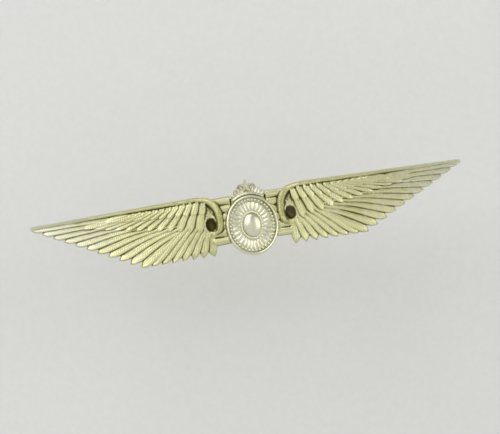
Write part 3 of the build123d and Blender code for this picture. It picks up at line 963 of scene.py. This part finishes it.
# the window's edge from inside: half width, squareness and height
inside_window = ((2.62, 6, cap_top - sheet), (2.58, 7, 1.56), (2.3, window_square, 1.55))
for side, side_name in sides:
    x = side * post_x
    rings = [framed_ring(out, window_half - 0.22 + out - hinge[0], window_square, x, height)
             for out, height in arc(hinge, hinge_room, curl_end, crown_angle, 8)]
    inner = framed_ring(crown_start, window_half + 0.18, window_square, x, cap_top)
    outer = framed_ring(crown_end, crown_end, 2, x, cap_top)
    rings += [inner + share * (outer - inner) for share in (0, 0.35, 0.7)]
    rings += [framed_ring(r, r, 2, x, height) for r, height in wall]
    rings += [framed_ring(half, half, squareness, x, height) for half, squareness, height in inside_window]
    cap = Skin()
    cap.loft(rings, around=True)
    make_piece(f"{side_name}_clutch_cap", cap, clutch_brass, f"{side_name}_clutch",
               [f"{side_name}_clutch_shell"])

# ---- Spring bows ----
# The bend of the clutch's spring: one piece of round spring wire, bent like a hairpin. The bow rests on
# the dish's dimple, and its two straight ends, which grip the post, are shown as pieces that move.
spring_wire = make_metal("spring wire", srgb(206, 186, 142), srgb(104, 92, 66), srgb(188, 166, 120),
                         gloss=(0.26, 0.5), grain_scale=6.0, stretch=(9, 9, 1), dull_shade_range=(0.6, 0.9),
                         relief=0.004)


def bend_wire(skin, path, radius=wire, count=20):
    """Round wire along a path that lies across the posts, its ends rounded over."""
    path = np.array(path, float)
    way = np.gradient(path, axis=0)
    way /= np.linalg.norm(way, axis=1)[:, None]
    aside = np.cross(way, (0, 1, 0))
    slopes = np.radians((75, 50, 25))
    stations = [(path[0] + way[0] * radius * (1 - sin(a)), aside[0], cos(a)) for a in slopes]
    stations += [(place, across, 1.0) for place, across in zip(path[1:-1], aside[1:-1])]
    stations += [(path[-1] - way[-1] * radius * (1 - sin(a)), aside[-1], cos(a)) for a in slopes[::-1]]
    skin.loft([[place + radius * share * (cos(a) * across + sin(a) * np.array((0, 1, 0)))
                for a in full_turn(count)] for place, across, share in stations])


for side, side_name in sides:
    x = side * post_x
    level = cloth_gap + wire_end[1]
    path = [(x - wire_end[0], level, -wire_end_half - 0.03), (x - wire_end[0], level, -bow_start + 0.02)]
    path += [(x - wire_end[0] * cos(a), level, -bow_start - wire_end[0] * sin(a))
             for a in np.linspace(0, pi, 25)]
    path += [(x + wire_end[0], level, -bow_start + 0.02), (x + wire_end[0], level, -wire_end_half - 0.03)]
    bow = Skin()
    bend_wire(bow, path)
    make_piece(f"{side_name}_clutch_wire_bow", bow, spring_wire, f"{side_name}_clutch",
               [f"{side_name}_clutch_spring"])

# ---- Spring ends ----
# The two straight ends of each spring, which snap into a groove of the post from both sides. Squeezing the
# finger tabs spreads them.
for side, side_name in sides:
    for place, way in (("outer", side), ("inner", -side)):
        run = np.linspace(-wire_end_half, wire_end_half, 9)
        end = Skin()
        bend_wire(end, [(side * post_x + way * wire_end[0], cloth_gap + wire_end[1], z) for z in run])
        make_piece(f"{side_name}_clutch_{place}_wire_end", end, spring_wire,
                   f"{side_name}_{place}_lever", [f"{side_name}_clutch_{place}_jaw"])

# ---- Finger tabs ----
# The two butterfly wings of each clutch, pressed from thinner brass. Each rocks in the cap's window on
# a rolled knuckle: its blade has a raised border and grip ribs, and its foot is curled round the wire.
tab_sheet = 0.3
foot_sheet = 0.22
knuckle = 0.3
root_half = 2.0             # half widths of the blade
lobe_half = 3.05
lobe_length = 2.1
border_rise = 0.1
rib_rise = 0.07
rib_pitch = 0.55
rib_start = 2.3             # up the blade from the hinge
rib_half = 1.7
finger_start = 0.75         # the foot's two fingers lie between these heights above and below the post
finger_end = 1.5
root_top = hinge + (0.06, 1.0)
blade_end = hinge + (2.7, 3.6)
# An upright root out of the hinge, then one round flare outwards to the blade's end
root_way = root_top - hinge
root_length = np.hypot(*root_way)
root_way /= root_length
outward = np.array((root_way[1], -root_way[0]))
chord = blade_end - root_top
flare_radius = (chord @ chord) / (2 * (chord @ outward))
blade_length = root_length + 2 * flare_radius * np.arcsin(np.hypot(*chord) / 2 / flare_radius)


def blade_point(s):
    """Where the middle of the blade's sheet is at a length s from the hinge, and which way is out of it."""
    if s < root_length:
        return hinge + s * root_way, outward
    turn = (s - root_length) / flare_radius
    normal = cos(turn) * outward - sin(turn) * root_way
    return root_top + flare_radius * outward - flare_radius * normal, normal


def blade_half(s):
    """Half the blade's width: a narrow root that swells into a round lobe."""
    swell = rising(s, 0.75, 1.7)
    half = root_half + (lobe_half - root_half) * swell ** 2 * (3 - 2 * swell)
    in_lobe = rising(s, blade_length - lobe_length, lobe_length)
    return max(half * (1 - in_lobe ** 2.5) ** (1 / 2.2), 0.05)


def pressed_rise(s, u, half):
    """How far the blade is pressed out of its plane: a border along its edge and ribs across it for grip."""
    from_edge = min(half - abs(u), blade_length - s)
    border = border_rise * np.exp(-((from_edge - 0.55) / 0.15) ** 2) * rising(s, 1.3, 0.6)
    ribbed = rising(rib_half - abs(u), 0, 0.4) * rising(s, rib_start, 0.3)
    ribbed *= rising(blade_length - 1.0 - s, 0, 0.3)
    return border - rib_rise * ribbed * cos(2 * pi * (s - rib_start) / rib_pitch)


def bend_sheet(skin, line, low, high, thick, place):
    """Sheet bent along a line of (out from the post, up from the cloth) points, between two heights in Z."""
    line = np.array(line, float)
    run = np.gradient(line, axis=0)
    run /= np.hypot(run[:, 0], run[:, 1])[:, None]
    rings = []
    for point, way in zip(line, run):
        normal = np.array((way[1], -way[0])) * thick / 2
        front, back = point + normal, point - normal
        rings.append([place(*corner, z) for corner, z in
                      ((front, low), (front, high), (back, high), (back, low))])
    skin.loft(rings)


# The foot's line: a web from the knuckle to the wire, then a curl round the wire
to_wire = np.array(wire_end) - hinge
reach = np.hypot(*to_wire)
curl = wire + 0.02 + foot_sheet / 2
lean = np.arctan2(to_wire[1], to_wire[0]) + np.arcsin(curl / reach)
run = reach * cos(np.arcsin(curl / reach))
web = [hinge + t * run * np.array((cos(lean), sin(lean))) for t in np.linspace(0.12, 1, 6)]
curl_start = np.degrees(lean) - 90
foot = web + arc(wire_end, curl, curl_start, curl_start - 250, 16)[1:]
stations = np.concatenate([np.linspace(0, blade_length - 1.2, 44),
                           blade_length - 1.2 * np.cos(np.linspace(0.05, pi / 2, 26))])
for side, side_name in sides:
    for side_of_post, way in (("outer", side), ("inner", -side)):

        def place(out, height, z):
            """A point of the tab, given out from the post and up from the cloth."""
            return side * post_x + way * out, cloth_gap + height, z

        rings = []
        for s in stations:
            centre, normal = blade_point(s)
            half = blade_half(s)
            corner = tab_sheet / 2 * min(1, half)
            flat = np.linspace(corner - half, half - corner, 31)
            rounding = np.radians((60, 30, 0, -30, -60))
            outline = [(u, tab_sheet / 2) for u in flat]
            outline += [(flat[-1] + corner * cos(a), tab_sheet / 2 * sin(a)) for a in rounding]
            outline += [(u, -tab_sheet / 2) for u in flat[::-1]]
            outline += [(flat[0] - corner * cos(a), -tab_sheet / 2 * sin(a)) for a in rounding]
            rings.append([place(*(centre + (pressed_rise(s, u, half) - v) * normal), u) for u, v in outline])
        tab = Skin()
        tab.loft(rings)
        bend_wire(tab, [place(*hinge, z) for z in np.linspace(-root_half, root_half, 5)], knuckle, 28)
        for low, high in ((finger_start, finger_end), (-finger_end, -finger_start)):
            bend_sheet(tab, foot, low, high, foot_sheet, place)
        bend_sheet(tab, foot[:4], 0.01 - finger_end, finger_end - 0.01, foot_sheet - 0.02, place)
        make_piece(f"{side_name}_clutch_{side_of_post}_finger_tab", tab, clutch_brass,
                   f"{side_name}_{side_of_post}_lever", [f"{side_name}_clutch_{side_of_post}_tab"], sharp=40)

# ---- Stage ----
# A pale floor below the badge, and a pale card behind it that only a camera in front of it sees, so that
# the card holds the badge's soft shadow and hides nothing from behind. Both fade out into the backdrop.
middle = (Vector(cad_box[0]) + Vector(cad_box[1])) / 2
floor_z = cad_box[0][2] - 0.11
floor_half = 1.5
floor_fade = (0.16, 0.7)    # how far from the badge it starts to fade, and where it is gone
card_y = cad_box[1][1] + 0.018
card_half = 0.13
card_fade = (0.07, 0.108)


def highest(tree, first, *others):
    """The highest of some values."""
    for other in others:
        first = combined(tree, first, other, "MAXIMUM")
    return first


def make_paper(name, fade, only_from_front):
    """Matt pale paper that a camera looks through more and more, away from the middle."""
    paper = bpy.data.materials.new(name)
    paper.use_nodes = True
    tree = paper.node_tree
    shader = tree.nodes["Principled BSDF"]
    seen = node(tree, "TexCoord").outputs["Object"]
    shade = blended(tree, noise(tree, seen, 900.0, 3.0), srgb(225, 225, 223), srgb(218, 218, 217))
    feed(tree, shader, {"Base Color": shade, "Roughness": 0.85, "Specular IOR Level": 0.2})
    from_middle = node(tree, "VectorMath", {0: seen}, operation="LENGTH").outputs["Value"]
    ray = node(tree, "LightPath").outputs
    looking = highest(tree, ray["Is Camera Ray"], ray["Is Glossy Ray"], ray["Is Transmission Ray"])
    clear = combined(tree, ranged(tree, from_middle, *fade, 0, 1, "SMOOTHERSTEP"), looking, "MULTIPLY")
    if only_from_front:
        behind = node(tree, "NewGeometry").outputs["Backfacing"]
        aslant = ranged(tree, node(tree, "LayerWeight", {"Blend": 0.5}).outputs["Facing"], 0.5, 0.8, 0, 1)
        clear = highest(tree, clear, behind, aslant, combined(tree, 1.0, looking, "SUBTRACT"))
    see_through = node(tree, "BsdfTransparent").outputs[0]
    mix = node(tree, "MixShader", {0: clear, 1: shader.outputs[0], 2: see_through})
    feed(tree, tree.nodes["Material Output"], {"Surface": mix.outputs[0]})
    return paper


def make_plane(name, corners, material):
    """A flat four-cornered part of the stage."""
    mesh = bpy.data.meshes.new(name)
    mesh.from_pydata(corners, [], [(0, 1, 2, 3)])
    mesh.materials.append(material)
    plane = bpy.data.objects.new(name, mesh)
    bpy.context.scene.collection.objects.link(plane)


square = ((-1, -1), (1, -1), (1, 1), (-1, 1))
make_plane("floor", [(u * floor_half, w * floor_half, floor_z) for u, w in square],
           make_paper("floor paper", floor_fade, False))
make_plane("card", [(u * card_half, card_y, w * card_half) for u, w in square],
           make_paper("card paper", card_fade, True))

# The studio's walls, palest level with the badge and darker above and below, as metal shows them
world = bpy.data.worlds.new("studio")
bpy.context.scene.world = world
world.use_nodes = True
tree = world.node_tree
direction = node(tree, "TexCoord").outputs["Generated"]
up = node(tree, "SeparateXYZ", {0: direction}).outputs["Z"]
walls = node(tree, "ValToRGB", {0: ranged(tree, up, -1, 1, 0, 1)})
walls.color_ramp.interpolation = "EASE"
# from straight below to straight above: place, and how pale it is
stops = ((0.0, 0.45), (0.27, 0.66), (0.44, 0.73), (0.6, 0.73), (0.76, 0.36), (1.0, 0.6))
for k, (position, level) in enumerate(stops):
    stop = walls.color_ramp.elements[k] if k < 2 else walls.color_ramp.elements.new(position)
    stop.position = position
    stop.color = (level, level, level * 0.99, 1)
feed(tree, tree.nodes["Background"], {"Color": walls.outputs[0], "Strength": 1.0})


def make_lamp(name, place, width, power):
    """A soft square box that faces the badge."""
    light = bpy.data.lights.new(name, "AREA")
    light.shape = "RECTANGLE"
    light.size = width
    light.size_y = width
    light.energy = power
    lamp = bpy.data.objects.new(name, light)
    lamp.location = middle + Vector(place)
    lamp.rotation_euler = (-Vector(place)).to_track_quat("-Z", "Y").to_euler()
    bpy.context.scene.collection.objects.link(lamp)


make_lamp("key", (-0.35, -0.45, 0.5), 0.8, 3.2)
make_lamp("fill", (0.6, -0.5, 0.15), 0.7, 1.3)
make_lamp("rear key", (0.4, 0.5, 0.45), 0.8, 1.7)
make_lamp("rear fill", (-0.55, 0.5, 0.1), 0.7, 0.9)

camera_data = bpy.data.cameras.new("camera")
camera = bpy.data.objects.new("camera", camera_data)
bpy.context.scene.collection.objects.link(camera)
bpy.context.scene.camera = camera
from_left = radians(5.5)
from_below = radians(4.4)
roll = radians(9.6)
distance = 0.55
shown_width = 0.0915
camera_data.lens = camera_data.sensor_width * distance / shown_width
camera_data.clip_start = 0.01
back_way = Vector((-sin(from_left) * cos(from_below), -cos(from_left) * cos(from_below), -sin(from_below)))
aim = Vector((middle.x, 0, middle.z))
right = Vector((cos(from_left), -sin(from_left), 0))
upward = back_way.cross(right)
rolled_right = cos(roll) * right - sin(roll) * upward
rolled_up = sin(roll) * right + cos(roll) * upward
turn = Matrix((rolled_right, rolled_up, back_way)).transposed()
camera.matrix_world = Matrix.Translation(aim + back_way * distance) @ turn.to_4x4()

bpy.context.scene.view_settings.view_transform = "Standard"
